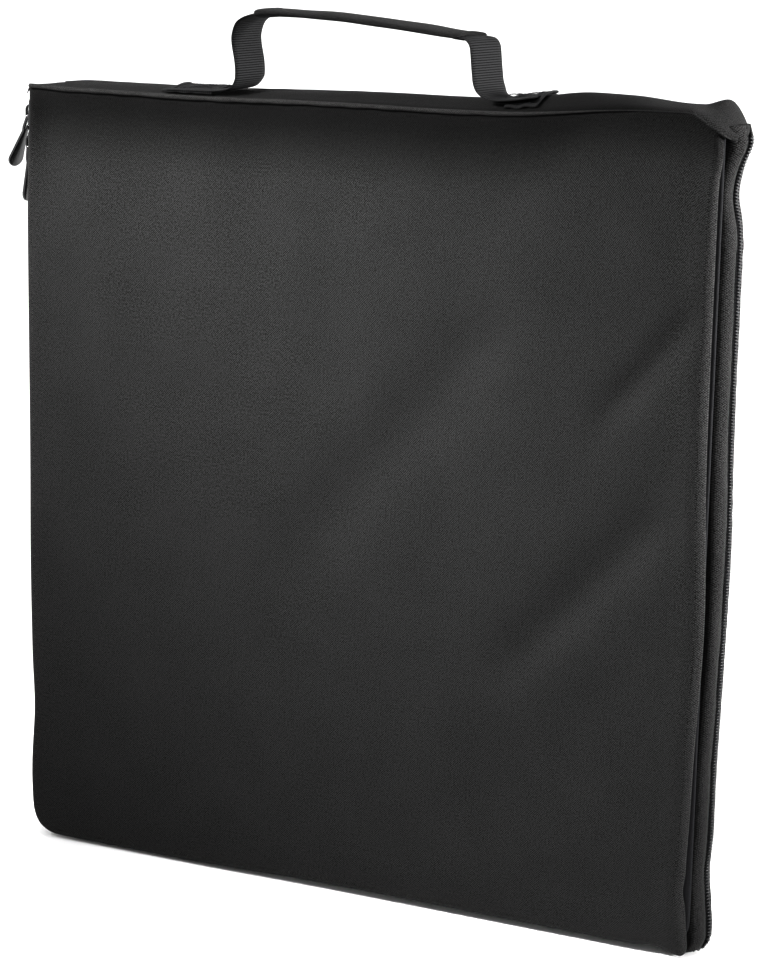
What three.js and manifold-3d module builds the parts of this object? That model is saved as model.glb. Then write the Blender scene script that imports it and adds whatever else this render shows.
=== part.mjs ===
// A padded nylon carrying bag for a folded music stand: two flat padded halves joined by a top
// panel, closed by one zip that runs down one side, across the bottom and up the other side, with
// two sliders and a webbing handle. Millimetres, +Z up, the front faces -Y.
import * as THREE from "three";
import { mergeVertices } from "three/addons/utils/BufferGeometryUtils.js";
import Module from "manifold-3d";

const wasm = await Module();
wasm.setup();

// The bag's body
const WIDTH = 520;
const HEIGHT = 560;
const DEPTH = 46;
const CORNER_RADIUS = 28; // the two bottom corners
const TOP_CORNER_RADIUS = 5;
const CORNER_STEPS = 7;
const GAP = 0.3; // between pieces that touch

// Layers of the padded panels
const FABRIC = 1.2;
const PADDING = 5;
const LINING = 0.8;
const RIM_DEPTH = 7.4; // how far the outer fabric turns back round the padding

// The zip: bulges are distances out past the panels' edge
const ZIP_BULGE = 8.5;
const COIL_INNER = 5.7;
const COIL_HALF_WIDTH = 3.9;
const COIL_SLOT = 0.6; // half the slot between the two closed coils
const TAPE_INNER = 4.4;
const TAPE_THICKNESS = 0.8;
const TAPE_EDGE = 0.8; // half the slot between the two closed tapes
const TAPE_HALF_WIDTH = 7.5;
const ZIP_END_DROP = 9; // the coils stop this far under the top
const BOTTOM_CLEARANCE = 1.5; // the zip hangs this far above the ground
const BOTTOM_FLATTENING = 0.4; // how much of the bulge is left across the bottom
const ZIP_TAB = { inner: 2.5, halfWidth: 4 };

// The gusset's section, from its seam with the panel to its folded edge beside the coil: the
// bulge, and how far the point lies in from the seam.
const GUSSET_OUTSIDE = [[-0.8, 0], [3.4, 1.8], [6.4, 6]];
const GUSSET_INSIDE = [[5.2, 6.8], [2.6, 3], [-0.8, 1.4]];
const GUSSET_FOLD = { inner: 6, outer: 7.2, clearance: 0.7 };
const BINDING = { inner: -3.4, thickness: 1, setback: 1, width: 7 };

// The top panel
const TOP_OVERHANG = 6; // over the ends of the zip
const TOP_SETBACK = 0.5; // behind the faces of the panels
const TOP_PADDING = { end: 12, side: 1.8 };

// Sliders and pulls
const SLIDER_LENGTH = 20;
const SLIDER_HALF_WIDTH = 6.2;
const SLIDER_PLATE_INNER = 9;
const SLIDER_PLATE_OUTER = 11.2;
const SLIDER_BACK = { gap: 0.5, thickness: 1.1 };
const SLIDER_WEB = { halfThickness: 0.3, end: 3 };
const UPPER_SLIDER_Z = HEIGHT - 21.5;
const LOWER_SLIDER_Z = UPPER_SLIDER_Z - SLIDER_LENGTH - 2;
const CROWN_HALF_LENGTH = 5.6;
const CROWN_OUTER = 16.2;
const CROWN_POST = 1.5;
const CROWN_BAR = 1.8;
const CROWN_WIDTH = 3;
const PIVOT_BULGE = 12.8;
const PIVOT_DROP = 2.4; // the pull hangs from the low end of the crown
const PULL_LENGTH = 40;
const PULL_THICKNESS = 2;
const PULL_HALF_WIDTH = { ring: 4.2, waist: 2.9, tip: 6.5 };
const PULL_RING = { top: 1.1, bottom: 8.6, chamfer: 1, barGap: 0.7, hole: [-8.1, -1.1] };
const PULL_WAIST_DROP = 12;
const UPPER_PULL_SWING = THREE.MathUtils.degToRad(22);

// The handle
const WEBBING_WIDTH = 38;
const WEBBING = 1.6;
const STRAP_X = 95; // middle of the bag to the outer face of each strap
const STRAP_BEND = 14;
const HANDLE_RISE = 60; // top panel to the top of the webbing
const HANDLE_PIVOT = 20.5; // height of the swing axis above the top panel
const GRIP_LENGTH = 152;
const GRIP_WIDTH = 24;
const GRIP_HEIGHT = 8;
const GRIP_CORNER = 3.4;
const GRIP_CORE = { width: 19, height: 3.2, corner: 0.4 }; // the webbing folded inside the grip
const SLEEVE_SETBACK = 3; // from the end of the grip to the end of its sleeve
const FOOT_LENGTH = { left: 48, right: 32 };
const FOOT_THICKNESS = WEBBING / 2; // sewn down hard

const halfWidth = WIDTH / 2;
const halfDepth = DEPTH / 2;
// The swung-out pull reaches further than the zip on the other side, and the origin is under the
// middle of the whole.
const pullReach = PIVOT_BULGE + PULL_LENGTH * Math.sin(UPPER_PULL_SWING);
const originShift = (pullReach - ZIP_BULGE) / 2;

const nylon = new THREE.MeshStandardMaterial({ color: 0x1d1d1e, roughness: 0.85, metalness: 0 });
const liningCloth = new THREE.MeshStandardMaterial({ color: 0x161617, roughness: 0.7, metalness: 0 });
const foam = new THREE.MeshStandardMaterial({ color: 0x9a9a96, roughness: 0.95, metalness: 0 });
const webbing = new THREE.MeshStandardMaterial({ color: 0x1a1a1b, roughness: 0.75, metalness: 0 });
const zipTape = new THREE.MeshStandardMaterial({ color: 0x121213, roughness: 0.8, metalness: 0 });
const coilPlastic = new THREE.MeshStandardMaterial({ color: 0x141415, roughness: 0.45, metalness: 0 });
const blackMetal = new THREE.MeshStandardMaterial({ color: 0x0c0c0d, roughness: 0.3, metalness: 0.7 });

const bag = new THREE.Group();
bag.position.x = originShift;

function addPiece(name, geometry, material, parent = bag) {
  const mesh = new THREE.Mesh(geometry, material);
  mesh.name = name;
  parent.add(mesh);
  return mesh;
}

function span(a, b) {
  return [Math.min(a, b), Math.max(a, b)];
}

// --- solids ---------------------------------------------------------------------------------

function solidOf(geometry) {
  const bare = geometry.clone();
  bare.deleteAttribute("normal");
  bare.deleteAttribute("uv");
  const merged = mergeVertices(bare, 1e-3);
  return new wasm.Manifold(
    new wasm.Mesh({
      numProp: 3,
      vertProperties: new Float32Array(merged.attributes.position.array),
      triVerts: new Uint32Array(merged.index.array),
    }),
  );
}

function geometryOf(solid) {
  const mesh = solid.getMesh();
  const geometry = new THREE.BufferGeometry();
  geometry.setAttribute("position", new THREE.BufferAttribute(mesh.vertProperties, 3));
  geometry.setIndex(new THREE.BufferAttribute(mesh.triVerts, 1));
  return geometry;
}

function joined(geometries) {
  return geometryOf(geometries.map(solidOf).reduce((whole, next) => whole.add(next)));
}

function cut(geometry, tool) {
  return geometryOf(solidOf(geometry).subtract(solidOf(tool)));
}

function common(geometry, other) {
  return geometryOf(solidOf(geometry).intersect(solidOf(other)));
}

// A box given by its span along each axis.
function block([x0, x1], [y0, y1], [z0, z1]) {
  const box = new THREE.BoxGeometry(x1 - x0, y1 - y0, z1 - z0);
  return box.translate((x0 + x1) / 2, (y0 + y1) / 2, (z0 + z1) / 2);
}

// Extrudes a shape drawn in X and Z from y0 to y1.
function plateAlongY(shape, y0, y1) {
  const plate = new THREE.ExtrudeGeometry(shape, {
    depth: y1 - y0,
    bevelEnabled: false,
    curveSegments: CORNER_STEPS,
  });
  return plate.rotateX(Math.PI / 2).translate(0, y1, 0);
}

// Extrudes a shape drawn in Y and Z from x0 to x1.
function plateAlongX(shape, x0, x1) {
  const plate = new THREE.ExtrudeGeometry(shape, {
    depth: x1 - x0,
    bevelEnabled: false,
    curveSegments: CORNER_STEPS,
  });
  return plate.rotateX(Math.PI / 2).rotateZ(Math.PI / 2).translate(x0, 0, 0);
}

// --- padded panels --------------------------------------------------------------------------

// The panels' outline in X and Z, drawn in by `inset`, with its top edge at `top`.
function panelShape(inset, top) {
  const half = halfWidth - inset;
  const low = CORNER_RADIUS - inset;
  const high = TOP_CORNER_RADIUS;
  const shape = new THREE.Shape();
  shape.moveTo(-half + low, inset);
  shape.lineTo(half - low, inset);
  shape.absarc(half - low, inset + low, low, -Math.PI / 2, 0, false);
  shape.lineTo(half, top - high);
  shape.absarc(half - high, top - high, high, 0, Math.PI / 2, false);
  shape.lineTo(-half + high, top);
  shape.absarc(-half + high, top - high, high, Math.PI / 2, Math.PI, false);
  shape.lineTo(-half, inset + low);
  shape.absarc(-half + low, inset + low, low, Math.PI, Math.PI * 1.5, false);
  return shape;
}

// A slab between two depths measured in from the bag's face on the given side (-1 front, 1 rear).
function slab(side, shape, from, to) {
  const [y0, y1] = span(side * (halfDepth - from), side * (halfDepth - to));
  return plateAlongY(shape, y0, y1);
}

function addPaddedPanel(prefix, side) {
  const top = HEIGHT - FABRIC - GAP;
  const inset = FABRIC + GAP;
  const outer = slab(side, panelShape(0, top), 0, RIM_DEPTH);
  const hollow = slab(side, panelShape(FABRIC, top + 2 * TOP_CORNER_RADIUS), FABRIC, RIM_DEPTH + 1);
  addPiece(`${prefix}_panel`, cut(outer, hollow), nylon);

  const paddingFrom = FABRIC + GAP;
  const paddingTo = paddingFrom + PADDING;
  const padding = slab(side, panelShape(inset, top - GAP), paddingFrom, paddingTo);
  addPiece(`${prefix}_padding`, padding, foam);

  const lining = slab(side, panelShape(inset, top - GAP), paddingTo + GAP, paddingTo + GAP + LINING);
  addPiece(`${prefix}_lining`, lining, liningCloth);
}

// --- strips round the three zipped sides ----------------------------------------------------

// Points down the right side, round the bottom and up the left side, `bulge` out past the
// panels' edge. Across the bottom the bag's weight presses the bulge nearly flat.
function zippedOutline(bulge, top) {
  const half = halfWidth + bulge;
  const radius = CORNER_RADIUS + bulge / 2;
  const bottom = BOTTOM_CLEARANCE + (ZIP_BULGE - bulge) * BOTTOM_FLATTENING;
  const points = [new THREE.Vector2(half, top)];
  for (const side of [1, -1]) {
    const start = side > 0 ? 0 : -Math.PI / 2;
    for (let step = 0; step <= CORNER_STEPS; step += 1) {
      const angle = start - (Math.PI / 2) * (step / CORNER_STEPS);
      const x = side * (half - radius) + radius * Math.cos(angle);
      points.push(new THREE.Vector2(x, bottom + radius + radius * Math.sin(angle)));
    }
  }
  points.push(new THREE.Vector2(-half, top));
  return points;
}

// A closed strip along that route. Its section is a ring of [bulge, y] points.
function zippedStrip(ring, top) {
  const section = ring.map(([bulge, y]) => new THREE.Vector2(bulge, y));
  if (THREE.ShapeUtils.isClockWise(section)) section.reverse();
  const outlines = section.map((point) => zippedOutline(point.x, top));
  const stations = outlines[0].length;
  const positions = section.flatMap((point, i) => outlines[i].flatMap((p) => [p.x, point.y, p.y]));
  const at = (corner, station) => (corner % section.length) * stations + station;
  const index = [];
  for (let corner = 0; corner < section.length; corner += 1) {
    for (let station = 0; station < stations - 1; station += 1) {
      const [a, b] = [at(corner, station), at(corner + 1, station)];
      index.push(a, a + 1, b, b, a + 1, b + 1);
    }
  }
  for (const [a, b, c] of THREE.ShapeUtils.triangulateShape(section, [])) {
    index.push(at(a, 0), at(b, 0), at(c, 0));
    index.push(at(a, stations - 1), at(c, stations - 1), at(b, stations - 1));
  }
  const strip = new THREE.BufferGeometry();
  strip.setAttribute("position", new THREE.Float32BufferAttribute(positions, 3));
  strip.setIndex(index);
  return strip;
}

// Cuts the strip round three sides into five, so that each one is straight or one corner.
function addFiveStrips(name, strip, material) {
  const reach = halfWidth + ZIP_BULGE;
  const depth = [-halfDepth, halfDepth];
  const bottomHalf = halfWidth - CORNER_RADIUS - 1;
  const cornerTop = CORNER_RADIUS + GUSSET_FOLD.outer;
  const low = [0, cornerTop];
  const high = [cornerTop + GAP, HEIGHT];
  addPiece(`${name}_bottom`, common(strip, block([-bottomHalf, bottomHalf], depth, low)), material);
  for (const [place, side] of [["left", -1], ["right", 1]]) {
    const corner = block(span(side * (bottomHalf + GAP), side * reach), depth, low);
    addPiece(`${name}_corner_${place}`, common(strip, corner), material);
    const upright = block(span(side * bottomHalf, side * reach), depth, high);
    addPiece(`${name}_${place}`, common(strip, upright), material);
  }
}

// The gusset swells from its seam with the panel out to the zip, the tape and coil sit under and
// beside its folded edge, and a binding covers the seam inside.
function addZippedSide(prefix, side) {
  const top = HEIGHT - FABRIC - 2 * GAP;
  const seam = halfDepth - RIM_DEPTH - GAP;
  const foldY = COIL_HALF_WIDTH + GUSSET_FOLD.clearance;
  const mirrored = (ring) => ring.map(([bulge, y]) => [bulge, side * y]);
  const fromSeam = (profile) => profile.map(([bulge, setback]) => [bulge, seam - setback]);
  const gusset = [
    ...fromSeam(GUSSET_OUTSIDE),
    [GUSSET_FOLD.outer, foldY],
    [GUSSET_FOLD.inner, foldY],
    ...fromSeam(GUSSET_INSIDE),
  ];
  addFiveStrips(`${prefix}_gusset`, zippedStrip(mirrored(gusset), top), nylon);

  const strip = (bulge0, bulge1, y0, y1) =>
    mirrored([[bulge0, y0], [bulge1, y0], [bulge1, y1], [bulge0, y1]]);
  const zipTop = HEIGHT - ZIP_END_DROP;
  const tape = strip(TAPE_INNER, TAPE_INNER + TAPE_THICKNESS, TAPE_EDGE, TAPE_HALF_WIDTH);
  addPiece(`${prefix}_zip_tape`, zippedStrip(tape, zipTop), zipTape);

  const coil = strip(COIL_INNER, ZIP_BULGE, COIL_SLOT, COIL_HALF_WIDTH);
  addPiece(`${prefix}_zip_coil`, zippedStrip(coil, zipTop), coilPlastic);

  const bindingOuter = BINDING.inner + BINDING.thickness;
  const bindingEdge = seam - BINDING.setback;
  const binding = strip(BINDING.inner, bindingOuter, bindingEdge - BINDING.width, bindingEdge);
  addPiece(`${prefix}_seam_binding`, zippedStrip(binding, top - ZIP_END_DROP), liningCloth);
}

// --- top panel ------------------------------------------------------------------------------

function addTopPanel() {
  const reach = halfWidth + TOP_OVERHANG;
  const depth = halfDepth - TOP_SETBACK;
  const fabric = block([-reach, reach], [-depth, depth], [HEIGHT - FABRIC, HEIGHT]);
  addPiece("top_panel", fabric, nylon);

  const padX = halfWidth - TOP_PADDING.end;
  const padY = halfDepth - RIM_DEPTH - TOP_PADDING.side;
  const padTop = HEIGHT - FABRIC - GAP;
  const padding = block([-padX, padX], [-padY, padY], [padTop - PADDING, padTop]);
  addPiece("top_padding", padding, foam);

  const liningTop = padTop - PADDING - GAP;
  const lining = block([-padX, padX], [-padY, padY], [liningTop - LINING, liningTop]);
  addPiece("top_lining", lining, liningCloth);

  // A folded tab covers each end of the zip.
  for (const [name, side] of [["zip_end_tab_left", -1], ["zip_end_tab_right", 1]]) {
    const x = span(side * (halfWidth + ZIP_TAB.inner), side * (halfWidth + ZIP_BULGE));
    const y = [-ZIP_TAB.halfWidth, ZIP_TAB.halfWidth];
    addPiece(name, block(x, y, [HEIGHT - ZIP_END_DROP + GAP, padTop]), nylon);
  }
}

// --- handle ---------------------------------------------------------------------------------

// One webbing strap: up from a rounded foot, over the grip and down again.
function handleWebbing() {
  const outerTop = HEIGHT + HANDLE_RISE;
  const innerX = STRAP_X - WEBBING;
  const innerBend = STRAP_BEND - WEBBING;
  const innerTop = outerTop - WEBBING;
  const arch = new THREE.Shape();
  arch.moveTo(STRAP_X, HEIGHT);
  arch.lineTo(STRAP_X, outerTop - STRAP_BEND);
  arch.absarc(STRAP_X - STRAP_BEND, outerTop - STRAP_BEND, STRAP_BEND, 0, Math.PI / 2, false);
  arch.lineTo(-STRAP_X + STRAP_BEND, outerTop);
  arch.absarc(-STRAP_X + STRAP_BEND, outerTop - STRAP_BEND, STRAP_BEND, Math.PI / 2, Math.PI, false);
  arch.lineTo(-STRAP_X, HEIGHT);
  arch.lineTo(-innerX, HEIGHT);
  arch.lineTo(-innerX, innerTop - innerBend);
  arch.absarc(-innerX + innerBend, innerTop - innerBend, innerBend, Math.PI, Math.PI / 2, true);
  arch.lineTo(innerX - innerBend, innerTop);
  arch.absarc(innerX - innerBend, innerTop - innerBend, innerBend, Math.PI / 2, 0, true);
  arch.lineTo(innerX, HEIGHT);
  const wide = plateAlongY(arch, -WEBBING_WIDTH / 2, WEBBING_WIDTH / 2);

  // The lower ends are round about the swing axis, so that they clear the top panel.
  const pivotZ = HEIGHT + HANDLE_PIVOT;
  const radius = WEBBING_WIDTH / 2;
  const outline = new THREE.Shape();
  outline.moveTo(radius, pivotZ);
  outline.lineTo(radius, outerTop + 1);
  outline.lineTo(-radius, outerTop + 1);
  outline.lineTo(-radius, pivotZ);
  outline.absarc(0, pivotZ, radius, Math.PI, Math.PI * 2, false);
  const strap = common(wide, plateAlongX(outline, -STRAP_X - 1, STRAP_X + 1));

  // Inside the grip the webbing is folded to half its width.
  const shoulder = GRIP_LENGTH / 2 - 2;
  const middle = block([-shoulder, shoulder], [-WEBBING_WIDTH, WEBBING_WIDTH], [innerTop - 1, outerTop + 1]);
  const core = block(
    [-shoulder - 1, shoulder + 1],
    [-GRIP_CORE.width / 2, GRIP_CORE.width / 2],
    [outerTop - GRIP_CORE.height, outerTop],
  );
  return joined([cut(strap, middle), core]);
}

function roundedRectangle(width, height, radius) {
  const [w, h] = [width / 2, height / 2];
  const shape = new THREE.Shape();
  shape.moveTo(-w + radius, -h);
  shape.lineTo(w - radius, -h);
  shape.absarc(w - radius, -h + radius, radius, -Math.PI / 2, 0, false);
  shape.lineTo(w, h - radius);
  shape.absarc(w - radius, h - radius, radius, 0, Math.PI / 2, false);
  shape.lineTo(-w + radius, h);
  shape.absarc(-w + radius, h - radius, radius, Math.PI / 2, Math.PI, false);
  shape.lineTo(-w, -h + radius);
  shape.absarc(-w + radius, -h + radius, radius, Math.PI, Math.PI * 1.5, false);
  return shape;
}

function addHandle() {
  addPiece("handle_webbing", handleWebbing(), webbing);

  const coreMiddle = HEIGHT + HANDLE_RISE - GRIP_CORE.height / 2;
  const sleeveHalf = GRIP_LENGTH / 2 - SLEEVE_SETBACK;
  const outline = roundedRectangle(GRIP_WIDTH, GRIP_HEIGHT, GRIP_CORNER);
  const mouth = roundedRectangle(
    GRIP_CORE.width + 2 * GAP,
    GRIP_CORE.height + 2 * GAP,
    GRIP_CORE.corner,
  );
  const outside = plateAlongX(outline, -sleeveHalf, sleeveHalf);
  const hole = plateAlongX(mouth, -sleeveHalf - 1, sleeveHalf + 1);
  addPiece("handle_grip_sleeve", cut(outside, hole).translate(0, 0, coreMiddle), nylon);

  for (const [name, side] of [["left", -1], ["right", 1]]) {
    const inner = STRAP_X - WEBBING;
    const x = span(side * inner, side * (inner + FOOT_LENGTH[name]));
    const y = [-WEBBING_WIDTH / 2, WEBBING_WIDTH / 2];
    const z = [HEIGHT + GAP, HEIGHT + GAP + FOOT_THICKNESS];
    addPiece(`handle_foot_${name}`, block(x, y, z), webbing);
  }
}

// --- sliders --------------------------------------------------------------------------------

// Built about its own middle, on the left side of the bag, where outward is -X: two plates over
// and under the zip, joined by a web between the coils, and a crown that the pull hangs from.
function sliderBody() {
  const half = SLIDER_LENGTH / 2;
  const outward = (bulge0, bulge1) => [-bulge1, -bulge0];
  const across = [-SLIDER_HALF_WIDTH, SLIDER_HALF_WIDTH];
  const topPlate = block(outward(SLIDER_PLATE_INNER, SLIDER_PLATE_OUTER), across, [-half, half]);

  const backOuter = TAPE_INNER - SLIDER_BACK.gap;
  const backInner = backOuter - SLIDER_BACK.thickness;
  const bottomPlate = block(outward(backInner, backOuter), across, [-half, half]);

  const web = block(
    outward(backOuter - SLIDER_BACK.thickness / 2, SLIDER_PLATE_INNER + 1),
    [-SLIDER_WEB.halfThickness, SLIDER_WEB.halfThickness],
    [-half + SLIDER_WEB.end, half - SLIDER_WEB.end],
  );

  const crownAcross = [-CROWN_WIDTH / 2, CROWN_WIDTH / 2];
  const posts = [-1, 1].map((side) => {
    const z = span(side * (CROWN_HALF_LENGTH - CROWN_POST), side * CROWN_HALF_LENGTH);
    return block(outward(SLIDER_PLATE_OUTER - 0.5, CROWN_OUTER), crownAcross, z);
  });
  const bar = block(
    outward(CROWN_OUTER - CROWN_BAR, CROWN_OUTER),
    crownAcross,
    [-CROWN_HALF_LENGTH, CROWN_HALF_LENGTH],
  );
  return joined([topPlate, bottomPlate, web, ...posts, bar]);
}

// A flat tab hanging from its own cross-bar, which is at the origin.
function pullTab() {
  const { ring, waist, tip } = PULL_HALF_WIDTH;
  const { top, bottom, chamfer, barGap, hole } = PULL_RING;
  const tab = new THREE.Shape();
  tab.moveTo(-ring + chamfer, top);
  tab.lineTo(-ring, top - chamfer);
  tab.lineTo(-ring, -bottom);
  tab.lineTo(-waist, -PULL_WAIST_DROP);
  tab.lineTo(-tip, -PULL_LENGTH + tip);
  tab.absarc(0, -PULL_LENGTH + tip, tip, Math.PI, Math.PI * 2, false);
  tab.lineTo(waist, -PULL_WAIST_DROP);
  tab.lineTo(ring, -bottom);
  tab.lineTo(ring, top - chamfer);
  tab.lineTo(ring - chamfer, top);
  const window = new THREE.Path();
  const windowHalf = CROWN_WIDTH / 2 + barGap;
  window.moveTo(-windowHalf, hole[1]);
  window.lineTo(windowHalf, hole[1]);
  window.lineTo(windowHalf, hole[0]);
  window.lineTo(-windowHalf, hole[0]);
  tab.holes.push(window);
  return plateAlongX(tab, -PULL_THICKNESS / 2, PULL_THICKNESS / 2);
}

function addSlider(prefix, z, swing) {
  const slider = new THREE.Group();
  slider.position.set(-halfWidth, 0, z);
  bag.add(slider);
  addPiece(`${prefix}_slider`, sliderBody(), blackMetal, slider);
  const pull = addPiece(`${prefix}_pull`, pullTab(), blackMetal, slider);
  pull.position.set(-PIVOT_BULGE, 0, -PIVOT_DROP);
  pull.rotation.y = swing;
}

for (const [prefix, side] of [["rear", 1], ["front", -1]]) {
  addPaddedPanel(prefix, side);
  addZippedSide(prefix, side);
}
addTopPanel();
addHandle();
addSlider("upper", UPPER_SLIDER_Z, UPPER_PULL_SWING);
addSlider("lower", LOWER_SLIDER_Z, 0);

export default bag;
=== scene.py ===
import math

import bmesh
import bpy
import numpy as np
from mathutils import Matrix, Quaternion, Vector


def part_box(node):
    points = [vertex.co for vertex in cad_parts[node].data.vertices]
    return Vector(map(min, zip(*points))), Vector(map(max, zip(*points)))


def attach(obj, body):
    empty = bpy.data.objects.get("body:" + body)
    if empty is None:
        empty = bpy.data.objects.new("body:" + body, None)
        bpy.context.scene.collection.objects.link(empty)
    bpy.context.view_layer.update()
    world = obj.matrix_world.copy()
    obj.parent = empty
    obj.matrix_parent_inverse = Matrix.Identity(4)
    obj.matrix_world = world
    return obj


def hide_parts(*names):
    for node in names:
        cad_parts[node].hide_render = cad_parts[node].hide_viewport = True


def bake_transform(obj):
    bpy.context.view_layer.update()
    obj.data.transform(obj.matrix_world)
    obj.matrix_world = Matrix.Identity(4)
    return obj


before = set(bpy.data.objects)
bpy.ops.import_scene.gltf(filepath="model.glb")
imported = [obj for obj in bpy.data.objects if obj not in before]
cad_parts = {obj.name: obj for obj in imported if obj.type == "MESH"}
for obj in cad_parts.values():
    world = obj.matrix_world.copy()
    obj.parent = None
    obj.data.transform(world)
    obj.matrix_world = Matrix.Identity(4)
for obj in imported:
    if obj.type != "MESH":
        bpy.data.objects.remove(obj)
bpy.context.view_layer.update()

MM = 0.001

# --- sizes from the frame -------------------------------------------------------------------

front_low, front_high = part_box("front_panel")
rear_low, rear_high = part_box("rear_panel")
CENTRE_X = (front_low.x + front_high.x) / 2
HALF_WIDTH = (front_high.x - front_low.x) / 2
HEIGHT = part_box("top_panel")[1].z
HALF_DEPTH = rear_high.y
RIM_DEPTH = rear_high.y - rear_low.y
ZIP_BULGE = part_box("front_zip_coil")[1].x - front_high.x
TAPE_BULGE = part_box("front_zip_tape")[1].x - front_high.x
ZIP_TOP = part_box("front_zip_coil")[1].z
BOTTOM_LINE = 4.9 * MM  # height of the gussets' seam across the bottom
BOTTOM_DROOP = 4.6 * MM  # how far the zipped strips hang below that line
BOTTOM_FLATTENING = 0.6  # share of the zip's bulge that the floor presses away
GUSSET_PARTS = ("left", "corner_left", "bottom", "corner_right", "right")
HALVES = (("front", -1, "front_cover"), ("rear", 1, "rear_shell"))  # with their side and body

GAP = 0.3 * MM  # left between pieces that touch
NYLON = 0.6 * MM  # thickness of the shell's cloth
LINING = 0.4 * MM  # thickness of the linings
ROLL = 5.4 * MM  # radius of the panels' edges, turned back over the foam
TOP_ROLL = 3 * MM  # the same along a panel's top edge
CORNER_LEFT = 21 * MM  # radii of the bag's bottom corners
CORNER_RIGHT = 9 * MM
GRID = 6.5 * MM  # spacing of a panel's vertices
ROLL_ANGLES = (0, 12, 25, 40, 55, 72)  # degrees round a rolled edge, where it has vertices


# --- small tools ----------------------------------------------------------------------------

def ease(value, start, end):
    """0 up to start, 1 from end on, and smooth between them."""
    t = np.clip((value - start) / (end - start), 0, 1)
    return t * t * (3 - 2 * t)


def bump(value, centre, width):
    """A smooth hump, 1 high at its centre."""
    return np.exp(-(((value - centre) / width) ** 2))


def wander(seed, length):
    """A smooth random field over two coordinates, about 1 high, with folds about `length` long."""
    waves = 7
    rng = np.random.default_rng(seed)
    turns = rng.uniform(0, 2 * math.pi, waves)
    lengths = length * rng.uniform(0.7, 1.6, waves)
    phases = rng.uniform(0, 2 * math.pi, waves)

    def field(u, v):
        total = 0
        for turn, size, phase in zip(turns, lengths, phases):
            along = u * math.cos(turn) + v * math.sin(turn)
            total = total + np.sin(2 * math.pi * along / size + phase)
        return total / math.sqrt(waves)

    return field


def arc_lengths(points):
    """How far along a row of points each one lies."""
    steps = np.linalg.norm(np.diff(points, axis=0), axis=1)
    return np.concatenate([[0], np.cumsum(steps)])


def directions(points):
    """Unit vectors along a row of points."""
    along = np.gradient(points, axis=0)
    return along / np.linalg.norm(along, axis=1)[:, None]


def stacked(x, y, z):
    """Three grids of coordinates as one list of points."""
    return np.stack([x, y, z], axis=2).reshape(-1, 3)


def rounded(angle, half_u, half_v, power_u, power_v):
    """A point of a ring that is round where its powers are 1, and squarer the smaller they are."""
    u, v = math.cos(angle), math.sin(angle)
    return (
        math.copysign(abs(u) ** power_u, u) * half_u, math.copysign(abs(v) ** power_v, v) * half_v,
    )


def through(points, spacing):
    """Points at even steps along a smooth curve through the given ones."""
    points = np.asarray(points, float)
    padded = np.concatenate([[2 * points[0] - points[1]], points, [2 * points[-1] - points[-2]]])
    curve = []
    for p0, p1, p2, p3 in zip(padded, padded[1:], padded[2:], padded[3:]):
        for t in np.linspace(0, 1, 24, endpoint=False):
            curve.append(0.5 * (
                2 * p1 + (p2 - p0) * t + (2 * p0 - 5 * p1 + 4 * p2 - p3) * t * t
                + (3 * p1 - p0 - 3 * p2 + p3) * t ** 3
            ))
    curve = np.array(curve + [points[-1]])
    s = arc_lengths(curve)
    count = max(2, round(s[-1] / spacing))
    at = np.linspace(0, s[-1], count + 1)
    return np.stack([np.interp(at, s, curve[:, k]) for k in range(curve.shape[1])], axis=1)


def build(name, points, faces, weave=None, painted_shade=None, outward=True):
    """A mesh object at the frame's origin. `weave` gives each vertex its place on the flat cloth.
    Each vertex's shade value, if given, is painted shade: 0 keeps the nylon's own colour, 1 darkens it,
    and more darkens it further, as deep in a seam's groove."""
    mesh = bpy.data.meshes.new(name)
    mesh.from_pydata([tuple(p) for p in points], [], [tuple(f) for f in faces])
    if weave is None:
        weave = points
    attribute = mesh.attributes.new("weave", "FLOAT_VECTOR", "POINT")
    attribute.data.foreach_set("vector", np.asarray(weave, np.float32).ravel())
    if painted_shade is not None:
        attribute = mesh.attributes.new("painted_shade", "FLOAT", "POINT")
        attribute.data.foreach_set("value", np.asarray(painted_shade, np.float32).ravel())
    if outward:
        edit = bmesh.new()
        edit.from_mesh(mesh)
        bmesh.ops.recalc_face_normals(edit, faces=edit.faces)
        edit.to_mesh(mesh)
        edit.free()
    mesh.polygons.foreach_set("use_smooth", [True] * len(mesh.polygons))
    mesh.update()
    piece = bpy.data.objects.new(name, mesh)
    bpy.context.scene.collection.objects.link(piece)
    return piece


def strip_faces(stations, corners, closed=False):
    """Four-sided faces over stations x corners vertices, closed round where the corners form rings."""
    last = corners if closed else corners - 1
    return [
        (i * corners + j, i * corners + (j + 1) % corners,
         (i + 1) * corners + (j + 1) % corners, (i + 1) * corners + j)
        for i in range(stations - 1) for j in range(last)
    ]


def caps(stations, corners):
    """The two faces that close a tube of rings at its ends."""
    last = (stations - 1) * corners
    return [tuple(range(corners))[::-1], tuple(range(last, last + corners))]


def loft(name, sections, painted_shade=None):
    """A closed skin over rings, given as stations x corners x 3. Its painted shade values, if given,
    are for one ring.
    """
    sections = np.asarray(sections)
    stations, corners, _ = sections.shape
    faces = strip_faces(stations, corners, closed=True) + caps(stations, corners)
    along = arc_lengths(sections.mean(axis=1))
    across = arc_lengths(sections[stations // 2])
    weave = np.zeros((stations, corners, 3))
    weave[:, :, 0] = along[:, None]
    weave[:, :, 1] = across[None, :]
    if painted_shade is not None:
        painted_shade = np.tile(painted_shade, stations)
    return build(name, sections.reshape(-1, 3), faces, weave.reshape(-1, 3), painted_shade=painted_shade)


def modifier(piece, kind, **settings):
    """Adds a modifier with its settings."""
    made = piece.modifiers.new(kind.lower(), kind)
    for key, value in settings.items():
        setattr(made, key, value)
    return made


def apply_modifiers(piece):
    """Makes what the modifiers do part of the mesh."""
    bpy.context.view_layer.update()
    graph = bpy.context.evaluated_depsgraph_get()
    mesh = bpy.data.meshes.new_from_object(piece.evaluated_get(graph))
    piece.modifiers.clear()
    piece.data = mesh
    return piece


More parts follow.
